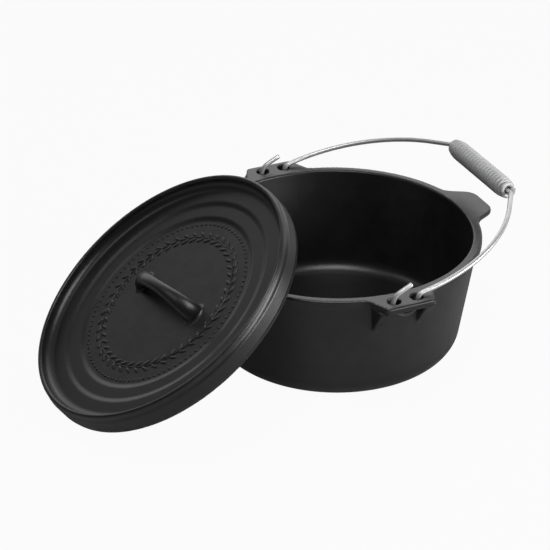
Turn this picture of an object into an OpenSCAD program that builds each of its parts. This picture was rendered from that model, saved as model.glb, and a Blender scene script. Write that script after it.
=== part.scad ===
// Camp oven: a flat-based cast pot with two bail ears and one lifting lug, a lid with a raised rim
// leaning on the pot's rim, a wire bail hooked through the ears and a coil grip on the bail.
// Millimetres. +Z is up, the origin is the middle of the pot's base, the ears lie on Y, the lug on +X.

/* [Pot] */
// Diameter over the rim
rim_d = 270; // [230:1:320]
// Height of the rim above the base
pot_h = 113; // [90:1:160]
// Wall thickness
wall_t = 5.5; // [4:0.5:7]
// Lean of the wall from upright, in degrees
wall_draft = 9.1; // [3:0.1:11]
// Floor thickness
floor_t = 13; // [6:0.5:16]
// Radius round the base outside
base_round = 22; // [16:1:30]
// Radius between floor and wall inside
floor_round = 14; // [8:1:22]
// Height of the band round the rim
band_h = 8; // [5:0.5:12]
// How far the band stands out from the wall
band_out = 4; // [3:0.5:7]
// Rounding of the rim's inner edge
mouth_round = 3; // [1:0.5:4]
// Rounding of the outer edges of band and flange
edge_round = 1.5; // [0.5:0.25:2.5]

/* [Ears] */
// Thickness of the ear plates
ear_t = 7; // [5:0.5:9]
// Metal left round the ear holes
ear_edge = 6; // [4:0.5:9]
// How much wider each side of an ear is at the rim than at its outer edge
ear_flare = 8; // [3:0.5:12]
// Radius of the ears' outer corners
ear_round = 4; // [2:0.5:6]
// Gap between the ear holes and the rim
hole_rim_gap = 0.4; // [0:0.1:3]
// Width of a gusset at the plate
gusset_w = 11; // [7:0.5:14]
// Width of a gusset at its foot
gusset_foot_w = 4; // [2:0.5:6]
// Drop of the gussets below the plate
gusset_drop = 29; // [18:1:40]
// Step from the plate's outer edge back to the gussets
gusset_back = 2.5; // [1:0.5:8]
// Room between the bail's rings and the gussets
ring_room = 2; // [1:0.5:4]

/* [Lug] */
// Reach of the lug beyond the rim
lug_reach = 20; // [12:0.5:30]
// Width of the lug at the rim
lug_w = 62; // [50:1:90]
// Width of the lug at its outer edge
lug_tip_w = 40; // [34:1:46]
// Radius of the lug's corners
lug_round = 16; // [3:0.5:20]
// Thickness of the lug
lug_t = 5; // [4:0.5:8]

/* [Lid] */
// How far the lid's flange stands out past the pot's rim
lid_over = 0; // [-2:0.5:4]
// Plate thickness
lid_t = 5; // [4:0.5:7]
// Height of the plate's underside over the flange's seat
lid_rise = 5; // [3:0.5:8]
// Thickness of the flange
flange_t = 6.5; // [5:0.5:8]
// Step from the flange's edge in to the raised rim
flange_step = 0.5; // [0.5:0.5:4]
// Height of the raised rim above the face
lid_rim_h = 13.5; // [8:0.5:20]
// Thickness of the raised rim at its top
lid_rim_t = 4.5; // [3:0.5:6]
// How much thicker the raised rim is at its foot
lid_rim_foot = 1; // [0.5:0.5:4]
// Radius between the raised rim and the face inside
lid_foot_round = 8; // [4:0.5:10]
// Width of each terrace
terrace_w = 10.5; // [5:0.5:13]
// Width of the slope below each terrace
slope_w = 5.5; // [4:0.5:9]
// Drop of the slope below each terrace
slope_drop = 1.6; // [0.6:0.1:2]
// Depth of the locating lip under the flange's seat
lip_drop = 4; // [2:0.5:6]
// Thickness of the locating lip
lip_t = 4; // [3:0.5:6]
// Clearance of the lip inside the pot's mouth
lip_clear = 0.8; // [0.4:0.1:2]

/* [Lid handle] */
// Length over the handle's feet
handle_len = 106; // [80:1:140]
// Height of the handle above the lid's face
handle_h = 23.5; // [18:0.5:36]
// Width of the bar at the middle
bar_w = 12; // [8:0.5:15]
// Thickness of the bar at the middle
bar_t = 9; // [7:0.5:11]
// Width of the feet
foot_w = 16; // [13:0.5:26]
// Thickness of the feet
foot_t = 12; // [10:0.5:18]
// Turn of the handle on the lid, in degrees
handle_turn = 11; // [0:1:45]
// Shift of the handle from the lid's middle, up the lean
handle_up = 4; // [-6:0.5:6]

/* [Lid pose] */
// Lean of the lid from lying flat, in degrees
lid_lean = 36.7; // [30:0.1:45]
// Turn of the leaning lid round the pot, in degrees
lid_turn = -1.7; // [-10:0.1:10]
// Sideways shift of the leaning lid
lid_shift = -23; // [-40:1:40]
// Gap between the lid's underside and the pot's rim
lean_gap = 0.3; // [0.1:0.1:1]

/* [Bail] */
// Wire diameter
wire_d = 4.4; // [3.5:0.1:5.5]
// Radius of the rings through the ears
ring_r = 12.3; // [11:0.1:15]
// Room round the wire in the ear holes
hole_play = 7.6; // [6:0.1:9]
// How far the holes stand inside the ring
hole_in = 1.3; // [0.5:0.1:2]
// Radius of the bend from ring to arm
bend_r = 6; // [6:0.5:12]
// Straight stretch of the arms before the arch
arm_len = 6; // [2:0.5:15]
// Length of the free end past its ring
tail_len = 13; // [6:0.5:18]
// Angle at which the free end leaves its ring, from level
tail_at = 116; // [105:1:130]
// Radius of the bends beside the grip
grip_bend_r = 5; // [4:0.5:10]
// Angle at which each side of the arch turns straight, from the middle, in degrees
straight_a = 33; // [32:0.5:40]
// Lean of the bail from level, in degrees
bail_lean = 13; // [8:0.5:30]
// Least gap between the wire's bend and the ear
bail_clear = 0.4; // [0.3:0.1:1]
// How much thicker than the wire the balls are that join its stretches
ball_over = 0.2; // [0.1:0.1:0.4]

/* [Grip] */
// Length over the coil
grip_len = 109; // [80:1:130]
// Diameter over the coil's middle
grip_d = 18.4; // [16:0.2:22]
// Diameter of the coil's wire
coil_d = 3.9; // [3:0.1:4]
// Curls in the coil
curls = 23; // [16:1:23]
// Curls drawn in at each end
taper_curls = 3; // [1:1:5]
// Gap between the coil and the bail's wire at the drawn-in ends
grip_play = 0.4; // [0.3:0.1:1]
// Gap between the coil and the bail's bends
grip_end_gap = 1; // [0.5:0.5:3]

/* [Hidden] */
$fn = 96;

// Cuts and joins run this far past a face
past = 1;
iron = "#2c2c2e";
plate_steel = "#c9cbce";
coil_steel = "#b9bcbf";

rim_r = rim_d / 2;
band_z = pot_h - band_h;
wall_run = wall_t / cos(wall_draft);
function wall_r(z) = rim_r - band_out - (band_z - z) * tan(wall_draft);
function inner_r(z) = wall_r(z) - wall_run;
// How far the middle of a corner's rounding stands back from the corner
function tuck(r, lean) = r * (1 - sin(lean)) / cos(lean);

mouth_z = pot_h - mouth_round;
mouth_r = inner_r(mouth_z) + mouth_round;

// Ears, sized from the bail's rings
hole_d = wire_d + hole_play;
hole_x = ring_r - hole_in;
ear_y = rim_r + hole_rim_gap + hole_d / 2;
ear_reach = hole_rim_gap + hole_d + ear_edge;
ear_tip_w = 2 * (hole_x + hole_d / 2 + ear_edge);
gusset_x = ring_r + wire_d / 2 + ring_room;
gusset_z = pot_h - ear_t - gusset_drop;

// Lid heights and radii, from the seat of its flange
lid_r = rim_r + lid_over;
face_z = lid_rise + lid_t;
lid_top = face_z + lid_rim_h;
lid_bead = lid_rim_t / 2;
lid_rim_r = lid_r - flange_step;
lid_rim_in = lid_rim_r - lid_rim_t;
ledge_z = face_z + 2 * slope_drop;
low_ledge_z = face_z + slope_drop;
rim_draft = atan2(lid_rim_foot, lid_top - lid_bead - ledge_z);
ledge_r = lid_rim_in - lid_rim_foot - tuck(lid_foot_round, rim_draft);
low_ledge_r = ledge_r - terrace_w - slope_w;
face_r = low_ledge_r - terrace_w - slope_w;
lip_r = inner_r(pot_h - lip_drop) - lip_clear;

// Resting place of the lid: flange edge on the floor, underside on the pot's rim
rim_lift = (rim_r - edge_round) * sin(lid_lean) + (pot_h - edge_round) * cos(lid_lean) + edge_round;
lid_z = (lid_r - edge_round) * sin(lid_lean) - edge_round * cos(lid_lean) + edge_round;
lid_x = (lid_z * cos(lid_lean) + lid_rise - lean_gap - rim_lift) / sin(lid_lean);

// Handle sweep
handle_rings = 28;
handle_sides = 16;
handle_sink = 4;

// Bail, laid out level along +X before it leans
pivot_z = pot_h - ear_t / 2;
hole_slack = hole_play / 2 - hole_in;
bend_in = bend_r - wire_d / 2;
riser_least = 0.5;
bend_reach = sqrt(pow(bend_in - bail_clear, 2) - pow(bend_in - hole_slack, 2));
riser = max(riser_least, ear_t / 2 - bend_reach);
bend_a = -bail_lean;
bend_x = (ring_r + bend_r) * cos(bend_a) - riser * sin(bend_a);
bend_z = (ring_r + bend_r) * sin(bend_a) + riser * cos(bend_a);
arm_z = bend_z + bend_r;
arch_x = bend_x + arm_len;
chord_y = grip_len / 2 + grip_end_gap;
kink_r = ear_y - grip_bend_r;
stub = (kink_r * sin(straight_a) - chord_y) / cos(straight_a);
kink_x = arch_x + kink_r * cos(straight_a) + stub * sin(straight_a);
chord_x = kink_x + grip_bend_r;

// Coil of the grip
curl_rings = 8;
tube_sides = 6;
coil_pitch = (grip_len - coil_d) / curls;
coil_r = grip_d / 2 - coil_d / 2;
// The path has flat steps, so its inside is nearest the wire halfway between two rings
coil_end_r = (wire_d / 2 + grip_play + coil_d / 2) / cos(180 / curl_rings);

function unit(v) = v / norm(v);
function least(list, i = 0) = i == len(list) - 1 ? list[i] : min(list[i], least(list, i + 1));

// Triangles of a closed tube with flat ends, for rings of equal point counts
function tube_faces(rings, sides) = concat(
    [for (i = [1 : sides - 2]) [0, i, i + 1]],
    [for (k = [0 : rings - 2], i = [0 : sides - 1], half = [0, 1])
        let (a = k * sides + i)
        let (b = k * sides + (i + 1) % sides)
        half == 0 ? [a, a + sides, b] : [b, a + sides, b + sides]],
    [for (i = [1 : sides - 2]) let (a = (rings - 1) * sides) [a, a + i + 1, a + i]]);

// Filled box with rounded corners, corner to corner
module round_box(x0, y0, x1, y1, r) {
    translate([x0 + r, y0])
        square([x1 - x0 - 2 * r, y1 - y0]);
    translate([x0, y0 + r])
        square([x1 - x0, y1 - y0 - 2 * r]);
    for (x = [x0 + r, x1 - r], y = [y0 + r, y1 - r])
        translate([x, y])
            circle(r);
}

// Half section of the pot with its inside filled
module pot_filled() {
    corner = wall_r(0) - tuck(base_round, wall_draft);
    polygon([
        [0, 0],
        [corner, 0],
        [corner + base_round * cos(wall_draft), base_round * (1 - sin(wall_draft))],
        [wall_r(pot_h), pot_h],
        [0, pot_h]]);
    translate([corner, base_round])
        circle(base_round);
    round_box(mouth_r - 4 * edge_round, band_z, rim_r, pot_h, edge_round);
}

// Half section of the pot's inside
module pot_hollow() {
    corner = inner_r(floor_t) - tuck(floor_round, wall_draft);
    polygon([
        [0, floor_t],
        [corner, floor_t],
        [corner + floor_round * cos(wall_draft), floor_t + floor_round * (1 - sin(wall_draft))],
        [inner_r(mouth_z), mouth_z],
        [inner_r(mouth_z), pot_h + past],
        [0, pot_h + past]]);
    translate([corner, floor_t + floor_round])
        circle(floor_round);
    difference() {
        translate([inner_r(mouth_z) - past, mouth_z])
            square([mouth_round + past, mouth_round + past]);
        translate([mouth_r, mouth_z])
            circle(mouth_round);
    }
}

// Flat tab standing out past the rim along +X, narrower at its tip, with round corners
module tab(base_w, tip_w, reach, corner_r) {
    lean = atan2((base_w - tip_w) / 2, reach);
    tip = rim_r + reach;
    side = tip_w / 2 - tuck(corner_r, lean);
    for (s = [-1, 1])
        translate([tip - corner_r, s * side])
            circle(corner_r);
    polygon([
        [rim_r / 2, -base_w / 2],
        [rim_r, -base_w / 2],
        [tip - corner_r + corner_r * sin(lean), -side - corner_r * cos(lean)],
        [tip, -side],
        [tip, side],
        [tip - corner_r + corner_r * sin(lean), side + corner_r * cos(lean)],
        [rim_r, base_w / 2],
        [rim_r / 2, base_w / 2]]);
}

// Gusset under one side of an ear: a taper seen from outside, cut to a wedge seen from the side
module gusset() {
    tip_x = gusset_x + (gusset_w - gusset_foot_w) / 2;
    tip_y = wall_r(gusset_z) - past;
    intersection() {
        rotate([90, 0, 0])
            linear_extrude(rim_r + ear_reach)
                polygon([
                    [gusset_x, pot_h - ear_t / 2],
                    [gusset_x, pot_h - ear_t],
                    [tip_x, gusset_z],
                    [tip_x + gusset_foot_w, gusset_z],
                    [gusset_x + gusset_w, pot_h - ear_t],
                    [gusset_x + gusset_w, pot_h - ear_t / 2]]);
        rotate([90, 0, 90])
            linear_extrude(gusset_x + gusset_w)
                polygon([
                    [-rim_r / 2, pot_h - ear_t / 2],
                    [-rim_r - ear_reach + gusset_back, pot_h - ear_t / 2],
                    [-rim_r - ear_reach + gusset_back, pot_h - ear_t],
                    [-tip_y, gusset_z],
                    [-rim_r / 2, gusset_z]]);
    }
}

// Front ear, on -Y
module ear() {
    translate([0, 0, pot_h - ear_t])
        rotate([0, 0, -90])
            linear_extrude(ear_t)
                tab(ear_tip_w + 2 * ear_flare, ear_tip_w, ear_reach, ear_round);
    for (s = [0, 1])
        mirror([s, 0, 0])
            gusset();
}

module pot() {
    color(iron)
        difference() {
            union() {
                rotate_extrude()
                    pot_filled();
                for (a = [0, 180])
                    rotate([0, 0, a])
                        ear();
                translate([0, 0, pot_h - lug_t])
                    linear_extrude(lug_t)
                        tab(lug_w, lug_tip_w, lug_reach, lug_round);
            }
            rotate_extrude()
                pot_hollow();
            for (x = [-hole_x, hole_x], y = [-ear_y, ear_y])
                translate([x, y, pot_h - ear_t - past])
                    cylinder(h = ear_t + 2 * past, d = hole_d);
        }
}

// Half section of the lid, seat of the flange at height 0
module lid_section() {
    polygon([
        [0, lid_rise],
        [lip_r - lip_t, lid_rise],
        [lip_r - lip_t, -lip_drop],
        [lip_r, -lip_drop],
        [lip_r, 0],
        [lid_r - edge_round, 0],
        [lid_r - edge_round, flange_t / 2],
        [lid_rim_r, flange_t / 2],
        [lid_rim_r, lid_top - lid_bead],
        [lid_rim_in, lid_top - lid_bead],
        [lid_rim_in - lid_rim_foot, ledge_z],
        [ledge_r - terrace_w, ledge_z],
        [low_ledge_r, low_ledge_z],
        [low_ledge_r - terrace_w, low_ledge_z],
        [face_r, face_z],
        [0, face_z]]);
    translate([lid_rim_r - lid_bead, lid_top - lid_bead])
        circle(lid_bead);
    difference() {
        translate([ledge_r, low_ledge_z])
            square([lid_rim_in - ledge_r, slope_drop + lid_foot_round * (1 - sin(rim_draft))]);
        translate([ledge_r, ledge_z + lid_foot_round])
            circle(lid_foot_round);
    }
    round_box(lip_r, 0, lid_r, flange_t, edge_round);
}

// Bridge handle: an arch of oval rings, waisted at the middle and flared at the feet
module lid_handle() {
    span = handle_len / 2 - foot_t / 2;
    rise = handle_h - bar_t / 2 + handle_sink;
    points = [for (k = [0 : handle_rings])
        let (a = 180 * k / handle_rings)
        let (flare = pow(abs(cos(a)), 3))
        let (y = -span * cos(a))
        let (z = face_z - handle_sink + rise * sin(a))
        let (w = bar_w + (foot_w - bar_w) * flare)
        let (t = bar_t + (foot_t - bar_t) * flare)
        let (out = unit([-cos(a) / span, sin(a) / rise]))
        for (i = [0 : handle_sides - 1])
            let (c = cos(360 * i / handle_sides))
            let (s = sin(360 * i / handle_sides))
            [w / 2 * s, y + t / 2 * c * out[0], z + t / 2 * c * out[1]]];
    polyhedron(points, tube_faces(handle_rings + 1, handle_sides));
}

module lid() {
    color(iron)
        rotate([0, 0, lid_turn])
            translate([lid_x, lid_shift, lid_z])
                rotate([0, -lid_lean, 0])
                    union() {
                        rotate_extrude()
                            lid_section();
                        translate([handle_up, 0, 0])
                            rotate([0, 0, handle_turn])
                                lid_handle();
                    }
}

// Places a piece laid out on the level bail
module on_bail() {
    translate([0, 0, pivot_z])
        rotate([0, -bail_lean, 0])
            children();
}

// Ball a hair thicker than the wire, which makes two stretches one solid
module joint_ball() {
    sphere(d = wire_d + ball_over);
}

// Wire bent in the level plane, from one angle to another
module wire_arc(r, from, to) {
    rotate([0, 0, from])
        rotate_extrude(angle = to - from)
            translate([r, 0])
                circle(d = wire_d);
}

// The same with a ball at both ends
module joined_arc(r, from, to) {
    wire_arc(r, from, to);
    for (a = [from, to])
        rotate([0, 0, a])
            translate([r, 0, 0])
                joint_ball();
}

// One ring with its free end, riser and bend up to the arm
module bail_end() {
    tail_a = tail_at - bail_lean;
    rotate([90, 0, 0]) {
        joined_arc(ring_r, tail_a, 360 + bend_a);
        rotate([0, 0, tail_a])
            translate([ring_r, 0, 0])
                rotate([90, 0, 0])
                    cylinder(h = tail_len, d = wire_d);
        rotate([0, 0, bend_a])
            translate([ring_r, 0, 0])
                rotate([-90, 0, 0])
                    cylinder(h = riser, d = wire_d);
        translate([bend_x, bend_z, 0])
            joined_arc(bend_r, 90, 180 + bend_a);
    }
}

module bail() {
    color(plate_steel)
        on_bail() {
            for (y = [-ear_y, ear_y])
                translate([0, y, 0]) {
                    bail_end();
                    translate([bend_x, 0, arm_z])
                        rotate([0, 90, 0])
                            cylinder(h = arm_len, d = wire_d);
                }
            for (s = [0, 1])
                mirror([0, s, 0]) {
                    translate([arch_x, 0, arm_z]) {
                        joined_arc(ear_y, straight_a, 90);
                        rotate([0, 0, straight_a])
                            translate([ear_y, 0, 0])
                                rotate([90, 0, 0])
                                    cylinder(h = stub, d = wire_d);
                    }
                    translate([kink_x, chord_y, arm_z])
                        joined_arc(grip_bend_r, 0, straight_a);
                }
            translate([chord_x, -chord_y, arm_z])
                rotate([-90, 0, 0])
                    cylinder(h = 2 * chord_y, d = wire_d);
        }
}

// Middle line of the coil round its own axis Z, with a straight stretch at each end
last = curls * curl_rings;
winding = [for (k = [0 : last])
    let (turn = k / curl_rings)
    let (edge = min(turn, curls - turn, taper_curls) / taper_curls)
    let (r = coil_end_r + (coil_r - coil_end_r) * sin(90 * edge))
    [r * cos(360 * turn), r * sin(360 * turn), coil_pitch * (turn - curls / 2)]];
coil_path = concat(
    [winding[0] + coil_d * unit(winding[0] - winding[1])],
    winding,
    [winding[last] + coil_d * unit(winding[last] - winding[last - 1])]);
coil_gap = least([for (i = [0 : last + 2], j = [i + curl_rings / 2 : i + curl_rings + 2])
    j <= last + 2 ? norm(coil_path[i] - coil_path[j]) - coil_d : coil_pitch]);
echo(coil_gap = coil_gap);

module grip() {
    points = [for (k = [0 : last + 2])
        let (p = coil_path[k])
        let (along = unit(coil_path[min(k + 1, last + 2)] - coil_path[max(k - 1, 0)]))
        let (raw = [p[0], p[1], 0])
        let (out = unit(raw - along * (raw * along)))
        let (side = cross(along, out))
        for (i = [0 : tube_sides - 1])
            p + coil_d / 2 * (cos(360 * i / tube_sides) * out + sin(360 * i / tube_sides) * side)];
    color(coil_steel)
        on_bail()
            translate([chord_x, 0, arm_z])
                rotate([90, 0, 0])
                    polyhedron(points, tube_faces(last + 3, tube_sides));
}

pot();
lid();
bail();
grip();
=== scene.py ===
import math

import bmesh
import bpy
import numpy as np
from mathutils import Matrix, Vector


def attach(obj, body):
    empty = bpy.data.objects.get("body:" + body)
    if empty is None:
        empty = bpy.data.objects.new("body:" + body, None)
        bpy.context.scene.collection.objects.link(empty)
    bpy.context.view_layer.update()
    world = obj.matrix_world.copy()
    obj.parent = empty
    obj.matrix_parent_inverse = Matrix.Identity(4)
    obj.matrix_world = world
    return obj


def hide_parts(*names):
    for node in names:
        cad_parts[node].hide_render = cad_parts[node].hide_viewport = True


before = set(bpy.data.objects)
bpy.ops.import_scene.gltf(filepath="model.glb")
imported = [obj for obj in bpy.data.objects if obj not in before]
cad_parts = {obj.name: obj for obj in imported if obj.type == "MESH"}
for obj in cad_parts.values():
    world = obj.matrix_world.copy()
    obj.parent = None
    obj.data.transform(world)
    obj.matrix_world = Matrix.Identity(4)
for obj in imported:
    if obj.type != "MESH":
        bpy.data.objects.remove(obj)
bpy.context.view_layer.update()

# ---------------------------------------------------------------------------------------------- Pot
# One iron casting, poured in sand, so each edge is soft and each inside corner has a fillet. The wall
# leans out to a thick band round the rim. Two ears for the bail and a plain lifting lug stand out flush
# with the rim's top. The iron is seasoned: oil baked to a near-black satin film over a fine grain.
MM = 0.001
RIM_R, POT_H, BAND_H = 135.0, 113.0, 8.0
WALL_LEAN = math.radians(9.1)
BAND_WALL_R = 131.0
WALL_RUN = 5.5 / math.cos(WALL_LEAN)
FLOOR_T, BASE_ROUND, FLOOR_ROUND, MOUTH_ROUND = 13.0, 22.0, 14.0, 1.7
EAR_T, EAR_TIP_Y, EAR_FOOT, EAR_TIP = 7.0, 153.4, 31.0, 23.0
EAR_Y, HOLE_X, HOLE_R = 141.4, 11.0, 6.0
LUG_T, LUG_TIP_X, LUG_FOOT, LUG_TIP, LUG_ROUND = 5.0, 155.0, 31.0, 20.0, 16.0
GUSSET_IN, GUSSET_OUT, GUSSET_TAPER, GUSSET_DROP = 16.5, 27.5, 3.5, 29.0
GUSSET_FRONT, GUSSET_FOOT_Y = 150.9, 125.52
EAR_CORNER, EAR_FILLET, LUG_FILLET, UNDER_RUN = 4.0, 4.0, 5.0, 4.0
TOP_EDGE, UNDER_EDGE, BAND_FILLET, HOLE_EDGE = 1.5, 2.4, 2.0, 0.8
GUSSET_EDGE, GUSSET_FILLET, GUSSET_SINK = 1.6, 2.2, 1.0
POT_VOXEL, WEAR_DEPTH = 1.9, 3.0


def shared(a, b, r, c=0.0):
    """Distance to what two solids share, its edge rounded to r. c is the cosine between their normals."""
    u, v = a + r, b + r
    corner = np.sqrt(np.maximum(u * u + v * v - 2 * c * u * v, 0) / (1 - c * c))
    return np.where((u > c * v) & (v > c * u), corner, np.maximum(u, v)) - r


def joined(a, b, r, c=0.0):
    """Distance to two solids cast in one, with a fillet of r between them."""
    return -shared(-a, -b, r, c)


def eased(t):
    t = np.clip(t, 0, 1)
    return t * t * (3 - 2 * t)


def tab(along, across, foot, tip, reach, corner):
    """Plan of a tab that narrows from the rim to its tip."""
    lean = math.atan2(foot - tip, reach - RIM_R)
    side = (across - foot) * math.cos(lean) + (along - RIM_R) * math.sin(lean)
    return np.maximum(shared(side, along - reach, corner, math.sin(lean)), RIM_R / 2 - along)


def pot_field(p):
    x, y, z = p.T
    ax, ay, r = np.abs(x), np.abs(y), np.hypot(x, y)
    tilt, lean = math.cos(WALL_LEAN), math.sin(WALL_LEAN)
    wall_r = BAND_WALL_R - (POT_H - BAND_H - z) * math.tan(WALL_LEAN)
    shell = shared((r - wall_r) * tilt, -z, BASE_ROUND, lean)
    shell = np.maximum(shell, z - POT_H + BAND_H / 2)
    plan = joined(r - RIM_R, tab(ay, ax, EAR_FOOT, EAR_TIP, EAR_TIP_Y, EAR_CORNER), EAR_FILLET)
    plan = joined(plan, tab(x, ay, LUG_FOOT, LUG_TIP, LUG_TIP_X, LUG_ROUND), LUG_FILLET)
    thick = np.where((x > RIM_R / 2) & (ay < x), LUG_T, EAR_T)
    under = POT_H - BAND_H + (BAND_H - thick) * eased((r - RIM_R) / UNDER_RUN)
    slab = shared(shared(plan, z - POT_H, TOP_EDGE), under - z, UNDER_EDGE)
    body = joined(shell, slab, BAND_FILLET, lean)
    top = POT_H - EAR_T
    draft = math.atan2(GUSSET_TAPER, GUSSET_DROP)
    inner = (GUSSET_IN - ax) * math.cos(draft) - (z - top) * math.sin(draft)
    outer = (ax - GUSSET_OUT) * math.cos(draft) - (z - top) * math.sin(draft)
    steep = math.atan2(GUSSET_FRONT - GUSSET_FOOT_Y, GUSSET_DROP)
    front = (ay - GUSSET_FRONT) * math.cos(steep) - (z - top) * math.sin(steep)
    gusset = shared(np.maximum(inner, outer), front, GUSSET_EDGE)
    body = joined(body, np.maximum(gusset, z - top - GUSSET_SINK), GUSSET_FILLET)
    hole = np.maximum(np.hypot(ax - HOLE_X, ay - EAR_Y) - HOLE_R, top - 1 - z)
    body = shared(body, -hole, HOLE_EDGE)
    hollow = shared((r - wall_r + WALL_RUN) * tilt, FLOOR_T - z, FLOOR_ROUND, lean)
    return shared(body, -hollow, MOUTH_ROUND, lean)


def slope(field, p, h=0.04):
    step = np.eye(3) * h
    return np.stack([field(p + s) - field(p - s) for s in step], 1) / (2 * h)


def cast(name, field, voxel, place=np.eye(4)):
    """A casting's mesh: the CAD solid cut into even faces, then drawn onto the field's surface."""
    form = bmesh.new()
    form.from_mesh(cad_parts[name].data)
    bmesh.ops.remove_doubles(form, verts=form.verts, dist=1e-5)
    form.transform(Matrix(place).inverted())
    rough = bpy.data.meshes.new(name + "_casting")
    form.to_mesh(rough)
    form.free()
    piece = bpy.data.objects.new(name + "_casting", rough)
    bpy.context.scene.collection.objects.link(piece)
    even = piece.modifiers.new("even_faces", "REMESH")
    even.mode = "VOXEL"
    even.voxel_size = voxel * MM
    graph = bpy.context.evaluated_depsgraph_get()
    made = bpy.data.meshes.new_from_object(piece.evaluated_get(graph))
    piece.modifiers.clear()
    piece.data = made
    p = np.empty(len(made.vertices) * 3)
    made.vertices.foreach_get("co", p)
    p = p.reshape(-1, 3) / MM
    ends = np.empty(len(made.edges) * 2, int)
    made.edges.foreach_get("vertices", ends)
    ends = ends.reshape(-1, 2)
    both = np.concatenate([ends, ends[:, ::-1]])
    count = np.bincount(both[:, 0], minlength=len(p))[:, None]
    # Nine steps bring each point onto the surface, and four of them also even out the spacing.
    for turn in range(9):
        g = slope(field, p)
        g2 = np.maximum((g * g).sum(1), 0.05)
        p -= np.clip(field(p) / g2, -1.5, 1.5)[:, None] * g
        if 2 <= turn < 6:
            mid = np.stack([np.bincount(both[:, 0], p[both[:, 1], i], len(p)) for i in range(3)], 1)
            mid /= count
            n = g / np.sqrt(g2)[:, None]
            move = mid - p
            p += 0.5 * (move - (move * n).sum(1)[:, None] * n)
    n = slope(field, p)
    n /= np.linalg.norm(n, axis=1)[:, None]
    # Nought on a thick flat place, and more where another face is near: there the film wears.
    edge = field(p - WEAR_DEPTH * n) + WEAR_DEPTH
    place = np.array(place)
    made.vertices.foreach_set("co", ((p * MM) @ place[:3, :3].T + place[:3, 3]).ravel())
    worn_edge = made.attributes.new("edge", "FLOAT", "POINT")
    worn_edge.data.foreach_set("value", np.clip(edge, -1, 2))
    made.shade_smooth()
    made.normals_split_custom_set_from_vertices((n @ place[:3, :3].T).tolist())
    made.update()
    return piece


class Feed:
    """A socket in a node tree. Sums and products of feeds add Math nodes to the tree."""

    def __init__(self, tree, socket=None):
        self.tree, self.socket = tree, socket

    def add(self, kind, settings=None, sockets=None, out=0):
        made = self.tree.nodes.new(kind)
        for name, value in (settings or {}).items():
            if name == "stops":
                ramp = made.color_ramp.elements
                while len(ramp) < len(value):
                    ramp.new(1.0)
                for stop, (at, tone) in zip(ramp, value):
                    stop.position, stop.color = at, (tone, tone, tone, 1)
            else:
                setattr(made, name, value)
        for name, value in (sockets or {}).items():
            if isinstance(value, Feed):
                self.tree.links.new(value.socket, made.inputs[name])
            else:
                made.inputs[name].default_value = value
        return Feed(self.tree, made.outputs[out])

    def math(self, operation, *values):
        return self.add("ShaderNodeMath", {"operation": operation}, dict(enumerate(values)))

    def __add__(self, other):
        return self.math("ADD", self, other)

    def __sub__(self, other):
        return self.math("SUBTRACT", self, other)

    def __rsub__(self, other):
        return self.math("SUBTRACT", other, self)

    def __mul__(self, other):
        return self.math("MULTIPLY", self, other)

    __radd__ = __add__
    __rmul__ = __mul__

    def noise(self, scale, detail=3.0, rough=0.55):
        return self.add("ShaderNodeTexNoise", None,
                        {"Vector": self, "Scale": scale, "Detail": detail, "Roughness": rough})

    def tint(self, *ends):
        low, high = (end if isinstance(end, Feed) else (*end, 1) for end in ends)
        return self.add("ShaderNodeMix", {"data_type": "RGBA"}, {0: self, 6: low, 7: high}, out=2)

    def ramp(self, *stops):
        return self.add("ShaderNodeValToRGB", {"stops": stops}, {"Fac": self})


def finish(name, **plain):
    """A new material, its shader with the sockets that are the same all over, and Object coordinates."""
    made = bpy.data.materials.new(name)
    made.use_nodes = True
    shader = made.node_tree.nodes["Principled BSDF"]
    for socket, value in plain.items():
        shader.inputs[socket.replace("_", " ")].default_value = value
    return made, shader, Feed(made.node_tree).add("ShaderNodeTexCoord", out="Object")


def feed(shader, **sockets):
    for name, value in sockets.items():
        value.tree.links.new(value.socket, shader.inputs[name.replace("_", " ")])


iron, shader, place = finish("seasoned_iron", IOR=1.6)
grain = place.noise(640.0, 3.0, 0.6)
sand = place.noise(210.0, 2.0)
film = place.noise(17.0, 4.0)
blotch = place.noise(64.0, 3.0)
edge = place.add("ShaderNodeAttribute", {"attribute_name": "edge"}, out="Fac")
worn = edge.ramp((0.15, 0.0), (0.9, 1.0)) * blotch.ramp((0.38, 0.0), (0.62, 1.0))
tone = (film * 0.6 + blotch * 0.4).ramp((0.3, 0.0), (0.7, 1.0))
colour = tone.tint((0.0095, 0.0095, 0.01), (0.0125, 0.0122, 0.0118))
colour = (worn * 0.25).tint(colour, (0.045, 0.044, 0.043))
height = grain * 0.4 + sand * 0.7
bump = height.add("ShaderNodeBump", None, {"Strength": 0.16, "Distance": 0.0006, "Height": height})
feed(shader, Base_Color=colour, Roughness=0.29 + film * 0.07 + grain * 0.06, Normal=bump)

pot = cast("pot", pot_field, POT_VOXEL)
pot.data.materials.append(iron)
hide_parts("pot")
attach(pot, "pot")

# --------------------------------------------------------------------------------------------- Bail
# One length of bright plated steel wire, bent cold. Each end makes an open ring down through one hole
# of an ear, under the plate and up through the other, with a short free end. From the rings it rises
# into an arch, with a straight stretch for the grip. It is free to swing in the holes.
WIRE_R, RING_R, BEND_R, RISER, ARM = 2.2, 12.3, 6.0, 0.5, 6.0
BAIL_LEAN, TAIL_AT, TAIL = math.radians(13), math.radians(116), 13.0
GRIP_BEND_R, STRAIGHT, CHORD_Y = 5.0, math.radians(33), 55.5
PIVOT_Z = POT_H - EAR_T / 2
BEND_X = (RING_R + BEND_R) * math.cos(BAIL_LEAN) + RISER * math.sin(BAIL_LEAN)
BEND_Z = -(RING_R + BEND_R) * math.sin(BAIL_LEAN) + RISER * math.cos(BAIL_LEAN)
ARM_Z, ARCH_X = BEND_Z + BEND_R, BEND_X + ARM
KINK_R = EAR_Y - GRIP_BEND_R
STUB = (KINK_R * math.sin(STRAIGHT) - CHORD_Y) / math.cos(STRAIGHT)
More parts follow.
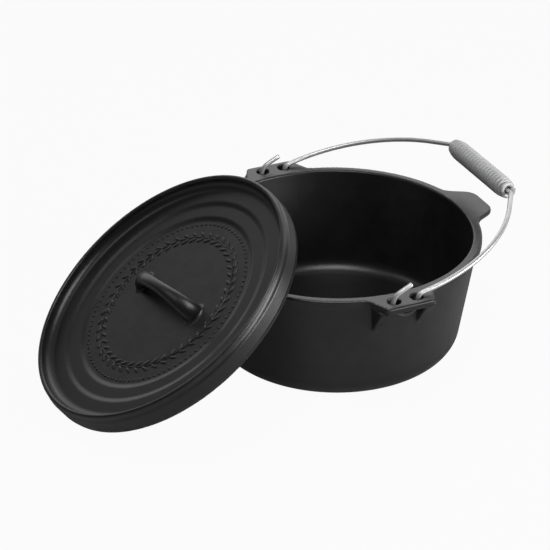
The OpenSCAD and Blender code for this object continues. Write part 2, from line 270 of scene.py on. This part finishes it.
KINK_X = ARCH_X + KINK_R * math.cos(STRAIGHT) + STUB * math.sin(STRAIGHT)
CHORD_X = KINK_X + GRIP_BEND_R


def bend(cx, cz, r, start, end, step):
    turns = np.radians(np.linspace(start, end, max(3, int(abs(end - start) / step) + 1)))
    return np.stack([cx + r * np.cos(turns), cz + r * np.sin(turns)], 1)


def straight(a, b, gap=4.0):
    a, b = np.array(a, float), np.array(b, float)
    n = max(1, int(np.linalg.norm(b - a) / gap))
    return a + np.linspace(0, 1, n + 1)[1:-1, None] * (b - a)


lean_deg = math.degrees(BAIL_LEAN)
ring = bend(0, 0, RING_R, math.degrees(TAIL_AT) - lean_deg, 360 - lean_deg, 6)
tail_way = np.array([math.sin(TAIL_AT - BAIL_LEAN), -math.cos(TAIL_AT - BAIL_LEAN)])
tail_tip = ring[0] + TAIL * tail_way
tail = np.concatenate([[tail_tip, tail_tip - 0.25 * tail_way, tail_tip - 0.9 * tail_way],
                       straight(tail_tip - 0.9 * tail_way, ring[0])])
elbow = bend(BEND_X, BEND_Z, BEND_R, 180 - lean_deg, 90, 6)
upright = np.concatenate([tail, ring, elbow])
upright = np.stack([upright[:, 0], np.full(len(upright), EAR_Y), upright[:, 1]], 1)
arch = bend(ARCH_X, 0, EAR_Y, 90, math.degrees(STRAIGHT), 2)
kink = bend(KINK_X, CHORD_Y, GRIP_BEND_R, math.degrees(STRAIGHT), 0, 5)
level = np.concatenate([straight((BEND_X, EAR_Y), arch[0], 2.0), arch, straight(arch[-1], kink[0]),
                        kink, straight(kink[-1], (CHORD_X, 0.0))])
level = np.stack([level[:, 0], level[:, 1], np.full(len(level), ARM_Z)], 1)
half = np.concatenate([upright, level])
wire_path = np.concatenate([half, [[CHORD_X, 0.0, ARM_Z]], half[::-1] * (1, -1, 1)])


def on_bail(p):
    """Points laid out on the level bail, in metres where the leaning bail is."""
    c, s = math.cos(BAIL_LEAN), math.sin(BAIL_LEAN)
    x, y, z = p.T
    return np.stack([x * c - z * s, y, PIVOT_Z + x * s + z * c], 1) * MM


def new_tree(name, inputs):
    """An empty Geometry Nodes tree with named inputs. Gives the tree and a feed for each input."""
    tree = bpy.data.node_groups.new(name, "GeometryNodeTree")
    tree.interface.new_socket("Geometry", in_out="OUTPUT", socket_type="NodeSocketGeometry")
    for label, kind in inputs.items():
        tree.interface.new_socket(label, in_out="INPUT", socket_type="NodeSocket" + kind)
    entry = tree.nodes.new("NodeGroupInput")
    return tree, {label: Feed(tree, entry.outputs[label]) for label in inputs}


def end_tree(shape, material):
    """Ends a tree: instances become real and take the material."""
    real = shape.add("GeometryNodeRealizeInstances", None, {"Geometry": shape})
    done = real.add("GeometryNodeSetMaterial", None, {"Geometry": real, "Material": material})
    leave = shape.tree.nodes.new("NodeGroupOutput")
    shape.tree.links.new(done.socket, leave.inputs["Geometry"])


def grown(name, tree, values, mesh=None):
    """A plain mesh piece from a tree, with its inputs set by name."""
    piece = bpy.data.objects.new(name, mesh or bpy.data.meshes.new(name))
    bpy.context.scene.collection.objects.link(piece)
    maker = piece.modifiers.new(name, "NODES")
    maker.node_group = tree
    for item in tree.interface.items_tree:
        if item.in_out == "INPUT" and item.name in values:
            maker[item.identifier] = values[item.name]
    graph = bpy.context.evaluated_depsgraph_get()
    made = bpy.data.meshes.new_from_object(piece.evaluated_get(graph))
    piece.modifiers.clear()
    piece.data = made
    return piece


plated, shader, place = finish("bright_plated_wire", Metallic=0.7)
drawn = place.noise(900.0, 2.0)
smear = place.noise(45.0, 3.0)
up = place.add("ShaderNodeSeparateXYZ", None, {"Vector": place}, out="Z")
# Painted shade: below 103.5 mm, under the ear plates, the wire is painted near black and rougher, fading
# out by 108.5 mm, to stand in for the shade under the plates.
painted_shade_under_ears = up.ramp((0.1035, 1.0), (0.1085, 0.0))
bright = (smear * 0.8).tint((0.80, 0.805, 0.815), (0.56, 0.56, 0.565))
feed(shader, Base_Color=(painted_shade_under_ears * 0.95).tint(bright, (0.035, 0.035, 0.037)),
     Roughness=0.3 + smear * 0.14 + painted_shade_under_ears * 0.3,
     Normal=drawn.add("ShaderNodeBump", None, {"Strength": 0.12, "Distance": 0.0002, "Height": drawn}))

tree, given = new_tree("bent_wire", {"Path": "Geometry", "Wire radius": "Float", "Sides": "Int"})
line = given["Path"].add("GeometryNodeMeshToCurve", None, {"Mesh": given["Path"]})
count = line.add("GeometryNodeAttributeDomainSize", {"component": "CURVE"}, {"Geometry": line},
                 out="Point Count")
index = line.add("GeometryNodeInputIndex")
from_end = index.math("MINIMUM", index, count - 1 - index)
tip = from_end.math("LESS_THAN", from_end, 0.5)
next_to_tip = from_end.math("LESS_THAN", from_end, 1.5)
round_end = 1 - 0.3 * tip - 0.08 * next_to_tip
line = line.add("GeometryNodeSetCurveRadius", None, {"Curve": line, "Radius": round_end})
section = line.add("GeometryNodeCurvePrimitiveCircle", {"mode": "RADIUS"},
                   {"Resolution": given["Sides"], "Radius": given["Wire radius"]})
thickness = line.add("GeometryNodeInputRadius")
tube = line.add("GeometryNodeCurveToMesh", None, {"Curve": line, "Profile Curve": section,
                                                  "Fill Caps": True, "Scale": thickness})
end_tree(tube.add("GeometryNodeSetShadeSmooth", None, {"Geometry": tube}), plated)

path_mesh = bpy.data.meshes.new("bail_path")
path_mesh.from_pydata(on_bail(wire_path).tolist(), [(i, i + 1) for i in range(len(wire_path) - 1)], [])
bail = grown("bail_wire", tree, {"Wire radius": WIRE_R * MM, "Sides": 24}, path_mesh)
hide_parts("bail")
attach(bail, "bail")

# --------------------------------------------------------------------------------------------- Grip
# A close-wound coil of satin plated wire that keeps the hand off the hot bail. Its last turns are
# drawn in at both ends so that it stays on the straight stretch, and it turns freely there.
CURLS, COIL_R, COIL_END_R, TAPER_CURLS = 23, 7.25, 4.93, 3
GRIP_LEN, COIL_WIRE_R, COIL_STEPS = 109.0, 2.24, 28
COIL_PITCH = (GRIP_LEN - 3.9) / CURLS

satin, shader, place = finish("satin_coil_wire", Metallic=0.6)
dull = place.noise(70.0, 3.0)
fine = place.noise(1100.0, 2.0)
feed(shader, Base_Color=(dull * 0.7 + fine * 0.3).tint((0.72, 0.722, 0.73), (0.55, 0.55, 0.553)),
     Roughness=0.5 + dull * 0.2,
     Normal=fine.add("ShaderNodeBump", None, {"Strength": 0.15, "Distance": 0.0002, "Height": fine}))

tree, given = new_tree("wound_coil", {"Curls": "Int", "Steps": "Int", "Pitch": "Float",
                                      "Radius": "Float", "End radius": "Float",
                                      "Drawn-in curls": "Float", "Wire radius": "Float"})
curls = given["Curls"]
line = curls.add("GeometryNodeMeshLine", None, {"Count": curls * given["Steps"] + 1})
index = line.add("GeometryNodeInputIndex")
turn = index.math("DIVIDE", index, given["Steps"])
edge = turn.math("MINIMUM", turn.math("MINIMUM", turn, curls - turn), given["Drawn-in curls"])
swell = edge.math("SINE", edge.math("DIVIDE", edge, given["Drawn-in curls"]) * (math.pi / 2))
radius = given["End radius"] + (given["Radius"] - given["End radius"]) * swell
angle = turn * (2 * math.pi)
spot = radius.add("ShaderNodeCombineXYZ", None, {"X": radius * angle.math("COSINE", angle),
                                                 "Y": radius * angle.math("SINE", angle),
                                                 "Z": given["Pitch"] * (turn - 0.5 * curls)})
line = line.add("GeometryNodeSetPosition", None, {"Geometry": line, "Position": spot})
line = line.add("GeometryNodeMeshToCurve", None, {"Mesh": line})
section = line.add("GeometryNodeCurvePrimitiveCircle", {"mode": "RADIUS"},
                   {"Resolution": 12, "Radius": given["Wire radius"]})
tube = line.add("GeometryNodeCurveToMesh", None, {"Curve": line, "Profile Curve": section,
                                                  "Fill Caps": True})
end_tree(tube.add("GeometryNodeSetShadeSmooth", None, {"Geometry": tube}), satin)

grip = grown("coil_grip", tree, {"Curls": CURLS, "Steps": COIL_STEPS, "Pitch": COIL_PITCH,
                                 "Radius": COIL_R, "End radius": COIL_END_R,
                                 "Drawn-in curls": float(TAPER_CURLS), "Wire radius": COIL_WIRE_R})
coil = np.empty(len(grip.data.vertices) * 3)
grip.data.vertices.foreach_get("co", coil)
coil = coil.reshape(-1, 3)
coil = np.stack([coil[:, 0] + CHORD_X, -coil[:, 2], coil[:, 1] + ARM_Z], 1)
grip.data.vertices.foreach_set("co", on_bail(coil).ravel())
grip.data.update()
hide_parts("grip")
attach(grip, "grip")

# ---------------------------------------------------------------------------------------------- Lid
# A second casting of the same iron, loose, leaning on the pot's rim. A flange seats on the pot, a lip
# under it keeps it in the mouth, and a raised rim holds coals on top. Inside that the face steps down
# over two shallow terraces. The bridge handle is cast in, waisted at the middle and flared at the feet.
LID_R, FLANGE_T, LID_RIM_R, LID_TOP, FACE_Z, LID_UNDER = 135.0, 6.5, 134.5, 23.5, 10.0, 5.0
LEDGE_R, LEDGE_Z, STEP, SLOPE_W, TERRACE_W = 121.93, 13.2, 1.6, 5.5, 10.5
RIM_FOOT_R, FOOT_ROUND, RIM_DRAFT = 129.0, 8.0, math.atan2(1.0, 8.05)
LIP_R, LIP_IN, LIP_DROP = 125.27, 121.27, 4.0
HANDLE_SPAN, HANDLE_RISE, HANDLE_SINK, HANDLE_UP = 47.0, 23.0, 4.0, 4.0
HANDLE_TURN = math.radians(11)
BAR_W, BAR_T, FOOT_W, FOOT_T, FLARE_POWER = 12.0, 9.0, 19.0, 12.5, 1.8
RIM_EDGE_OUT, RIM_EDGE_IN, FLANGE_EDGE, FLANGE_FILLET, PLATE_INSET = 2.2, 2.0, 1.5, 0.8, 2.0
LIP_EDGE, LIP_FILLET, UNDER_FILLET, HANDLE_FILLET, LID_VOXEL = 1.0, 1.0, 3.0, 2.2, 1.38


def handle_field(x, y, z):
    """Distance to the bridge handle: oval sections on an arch, from the nearest point of the arch."""
    a = np.arctan2((z - FACE_Z + HANDLE_SINK) / HANDLE_RISE, -y / HANDLE_SPAN)
    a = np.where(a < -math.pi / 2, math.pi, np.clip(a, 0, math.pi))
    for turn in range(4):
        s, c = np.sin(a), np.cos(a)
        py, pz = y + HANDLE_SPAN * c, z - FACE_Z + HANDLE_SINK - HANDLE_RISE * s
        ty, tz = HANDLE_SPAN * s, HANDLE_RISE * c
        curve = py * HANDLE_SPAN * c - pz * HANDLE_RISE * s - ty * ty - tz * tz
        a = np.clip(a - (py * ty + pz * tz) / np.minimum(curve, -60.0), 0, math.pi)
    s, c = np.sin(a), np.cos(a)
    py, pz = y + HANDLE_SPAN * c, z - FACE_Z + HANDLE_SINK - HANDLE_RISE * s
    length = np.hypot(c / HANDLE_SPAN, s / HANDLE_RISE)
    out = (py * -c / HANDLE_SPAN + pz * s / HANDLE_RISE) / length
    along = (py * s / HANDLE_RISE + pz * c / HANDLE_SPAN) / length
    flare = np.abs(c) ** FLARE_POWER
    w, t = BAR_W + (FOOT_W - BAR_W) * flare, BAR_T + (FOOT_T - BAR_T) * flare
    oval = np.hypot(2 * x / w, 2 * out / t)
    return np.hypot(np.maximum((oval - 1) * t / 2, 0), along) + np.minimum((oval - 1) * t / 2, 0)


def lid_field(p):
    x, y, z = p.T
    r = np.hypot(x, y)
    low = LEDGE_R - TERRACE_W - SLOPE_W
    first = eased((r - low + TERRACE_W + SLOPE_W) / SLOPE_W)
    face = FACE_Z + STEP * (first + eased((r - low) / SLOPE_W))
    plate = np.maximum(r - LID_RIM_R + PLATE_INSET, z - face)
    inner = -(r - RIM_FOOT_R) * math.cos(RIM_DRAFT) + (z - LEDGE_Z) * math.sin(RIM_DRAFT)
    rim = shared(r - LID_RIM_R, z - LID_TOP, RIM_EDGE_OUT)
    rim = shared(rim, inner, RIM_EDGE_IN, math.sin(RIM_DRAFT))
    upper = np.maximum(joined(plate, rim, FOOT_ROUND, math.sin(RIM_DRAFT)), FLANGE_T / 2 - z)
    flange = shared(shared(r - LID_R, z - FLANGE_T, FLANGE_EDGE), -z, FLANGE_EDGE)
    lip = np.maximum(shared(r - LIP_R, -LIP_DROP - z, LIP_EDGE), z - FLANGE_T / 2)
    flange = joined(flange, lip, LIP_FILLET)
    body = joined(upper, flange, FLANGE_FILLET)
    body = shared(body, -shared(r - LIP_IN, z - LID_UNDER, UNDER_FILLET), LIP_EDGE)
    c, s = math.cos(HANDLE_TURN), math.sin(HANDLE_TURN)
    hx, hy = (x - HANDLE_UP) * c + y * s, -(x - HANDLE_UP) * s + y * c
    # The handle is worked out only in a box round it. Elsewhere it is far away.
    near = (np.abs(hx) < 26) & (np.abs(hy) < 68) & (z > FACE_Z - 3)
    handle = np.full(len(p), 30.0)
    handle[near] = handle_field(hx[near], hy[near], z[near])
    return joined(body, handle, HANDLE_FILLET)


LID_LEAN, LID_TURN, LID_AT = math.radians(36.7), math.radians(-1.7), (-0.17029, -0.023, 0.08008)
lid_place = (Matrix.Rotation(LID_TURN, 4, "Z") @ Matrix.Translation(LID_AT)
             @ Matrix.Rotation(-LID_LEAN, 4, "Y"))
lid = cast("lid", lid_field, LID_VOXEL, lid_place)
lid.data.materials.append(iron)
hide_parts("lid")
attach(lid, "lid")

# ------------------------------------------------------------------------------------------- Relief
# Low ornament cast into the lid's face: a ring stem with leaves on both sides and a ring of beads,
# carved in the pattern and so of the same iron, standing just under a millimetre proud.
STEM_R, LEAVES, LEAF_LEN, LEAF_W, RELIEF = 72.0, 46, 9.5, 3.6, 0.9
BEAD_RING_R, BEADS, BEAD_R = 86.5, 96, 1.3

tree, given = new_tree("leaf_ring", {"Stem radius": "Float", "Leaves": "Int", "Leaf length": "Float",
                                     "Leaf width": "Float", "Relief": "Float", "Bead ring": "Float",
                                     "Beads": "Int", "Bead radius": "Float"})


def row_of(shape, count, radius, start, swing, size):
    """Copies of a shape evenly round a circle, each turned to the ring and swung off it."""
    ring = shape.add("GeometryNodeMeshCircle", None, {"Vertices": count, "Radius": radius})
    index = ring.add("GeometryNodeInputIndex")
    angle = index.math("DIVIDE", index, count) * (2 * math.pi)
    lay = angle.add("ShaderNodeCombineXYZ", None, {"Z": angle + (start + swing)})
    return ring.add("GeometryNodeInstanceOnPoints", None, {"Points": ring, "Instance": shape,
                                                           "Rotation": lay, "Scale": size})


ball = Feed(tree).add("GeometryNodeMeshUVSphere", None, {"Segments": 10, "Rings": 6, "Radius": 1.0})
leaf_size = ball.add("ShaderNodeCombineXYZ", None, {"X": given["Leaf length"] * 0.5,
                                                    "Y": given["Leaf width"] * 0.5,
                                                    "Z": given["Relief"]})
bead_size = ball.add("ShaderNodeCombineXYZ", None, {"X": given["Bead radius"], "Y": given["Bead radius"],
                                                    "Z": given["Relief"] * 0.9})
away = given["Leaf length"] * 0.32
outer_row = row_of(ball, given["Leaves"], given["Stem radius"] + away, math.pi / 2, -0.62, leaf_size)
inner_row = row_of(ball, given["Leaves"], given["Stem radius"] - away, math.pi / 2, 0.62, leaf_size)
bead_row = row_of(ball, given["Beads"], given["Bead ring"], 0.0, 0.0, bead_size)
stem_line = ball.add("GeometryNodeCurvePrimitiveCircle", {"mode": "RADIUS"},
                     {"Resolution": 120, "Radius": given["Stem radius"]})
stem_round = ball.add("GeometryNodeCurvePrimitiveCircle", {"mode": "RADIUS"},
                      {"Resolution": 8, "Radius": given["Relief"] * 0.75})
stem = ball.add("GeometryNodeCurveToMesh", None, {"Curve": stem_line, "Profile Curve": stem_round})
group = tree.nodes.new("GeometryNodeJoinGeometry")
for part in (outer_row, inner_row, bead_row, stem):
    tree.links.new(part.socket, group.inputs["Geometry"])
all_rows = Feed(tree, group.outputs[0])
end_tree(all_rows.add("GeometryNodeSetShadeSmooth", None, {"Geometry": all_rows}), iron)

relief = grown("lid_relief", tree, {"Stem radius": STEM_R, "Leaves": LEAVES, "Leaf length": LEAF_LEN,
                                    "Leaf width": LEAF_W, "Relief": RELIEF, "Bead ring": BEAD_RING_R,
                                    "Beads": BEADS, "Bead radius": BEAD_R})
relief.data.transform(lid_place @ Matrix.Translation((0, 0, FACE_Z * MM)) @ Matrix.Scale(MM, 4))
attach(relief, "lid")

# ------------------------------------------------------------------------------------- Studio floor
# Pale paper under the oven in a dim studio, with soft lamps overhead, behind, at the left and low at the
# front right, and a white screen behind on the right. The camera sees plain white all round, and the
# metal sees the lit paper and the screen.
floor_mesh = bpy.data.meshes.new("studio_floor")
floor_mesh.from_pydata([(-12, -12, 0), (12, -12, 0), (12, 12, 0), (-12, 12, 0)], [], [(0, 1, 2, 3)])
floor = bpy.data.objects.new("studio_floor", floor_mesh)
bpy.context.scene.collection.objects.link(floor)


def ray_is(start, kind):
    return start.add("ShaderNodeLightPath", out="Is " + kind + " Ray")


paper = bpy.data.materials.new("pale_paper")
paper.use_nodes = True
paper.node_tree.nodes.clear()
start = Feed(paper.node_tree)
sheet = start.add("ShaderNodeBsdfDiffuse", None, {"Color": (0.45, 0.45, 0.45, 1)})
glow = start.add("ShaderNodeEmission", None, {"Color": (1, 1, 1, 1), "Strength": 1.0})
seen = ray_is(start, "Camera") * 0.95 + (ray_is(start, "Glossy") + ray_is(start, "Transmission")) * 0.05
mixed = start.add("ShaderNodeMixShader", None, {0: seen, 1: sheet, 2: glow})
leave = paper.node_tree.nodes.new("ShaderNodeOutputMaterial")
paper.node_tree.links.new(mixed.socket, leave.inputs["Surface"])
floor.data.materials.append(paper)

world = bpy.data.worlds.new("studio")
bpy.context.scene.world = world
world.use_nodes = True
world.node_tree.nodes.clear()
start = Feed(world.node_tree)
way = start.add("ShaderNodeTexCoord", out="Generated")
SCREEN_WAY = (0.50, 0.86, 0.0)
facing = start.add("ShaderNodeVectorMath", {"operation": "DOT_PRODUCT"}, {0: way, 1: SCREEN_WAY},
                   out="Value")
screen = (facing * 0.5 + 0.5).ramp((0.76, 0.0), (0.86, 1.0))
dim = 0.05 + 0.25 * screen
mirrored = ray_is(start, "Glossy") + ray_is(start, "Transmission")
bright = dim.math("MAXIMUM", dim, mirrored * screen)
strength = bright.math("MAXIMUM", bright, ray_is(start, "Camera"))
room = start.add("ShaderNodeBackground", None, {"Color": (1, 1, 1, 1), "Strength": strength})
leave = world.node_tree.nodes.new("ShaderNodeOutputWorld")
world.node_tree.links.new(room.socket, leave.inputs["Surface"])


def lamp(name, watts, wide, deep, at, towards):
    light = bpy.data.lights.new(name, "AREA")
    light.shape, light.size, light.size_y, light.energy = "RECTANGLE", wide, deep, watts
    stand = bpy.data.objects.new(name, light)
    aim = (Vector(towards) - Vector(at)).to_track_quat("-Z", "Y").to_matrix().to_4x4()
    stand.matrix_world = Matrix.Translation(at) @ aim
    bpy.context.scene.collection.objects.link(stand)


# Each lamp: its watts, width and depth, where it stands and what it faces, in metres.
lamp("top_lamp", 5.5, 0.6, 0.6, (-0.15, -0.3, 1.2), (-0.05, 0.05, 0.05))
lamp("back_lamp", 2.1, 1.0, 1.0, (0.62, 1.4, 1.03), (0.0, 0.0, 0.08))
lamp("left_lamp", 1.3, 0.6, 0.6, (-1.0, 0.55, 1.2), (-0.15, 0.0, 0.1))
lamp("side_lamp", 21.0, 1.5, 0.5, (1.05, -1.15, 0.48), (0.0, 0.0, 0.08))

camera = bpy.data.cameras.new("camera")
camera.lens, camera.sensor_width = 154.0, 36.0
camera_stand = bpy.data.objects.new("camera", camera)
CAMERA_TURN, CAMERA_RISE, CAMERA_AWAY = math.radians(-24.25), math.radians(28.65), 2.2
CAMERA_AIM = np.array([-0.0502, 0.0256, 0.0650])
flat = math.cos(CAMERA_RISE)
back = np.array([math.sin(CAMERA_TURN) * flat, -math.cos(CAMERA_TURN) * flat, math.sin(CAMERA_RISE)])
right = np.array([math.cos(CAMERA_TURN), math.sin(CAMERA_TURN), 0.0])
stand = np.eye(4)
stand[:3, 0], stand[:3, 1], stand[:3, 2] = right, np.cross(back, right), back
stand[:3, 3] = CAMERA_AIM + CAMERA_AWAY * back
camera_stand.matrix_world = Matrix(stand.tolist())
bpy.context.scene.collection.objects.link(camera_stand)
bpy.context.scene.camera = camera_stand
bpy.context.scene.view_settings.view_transform = "Standard"
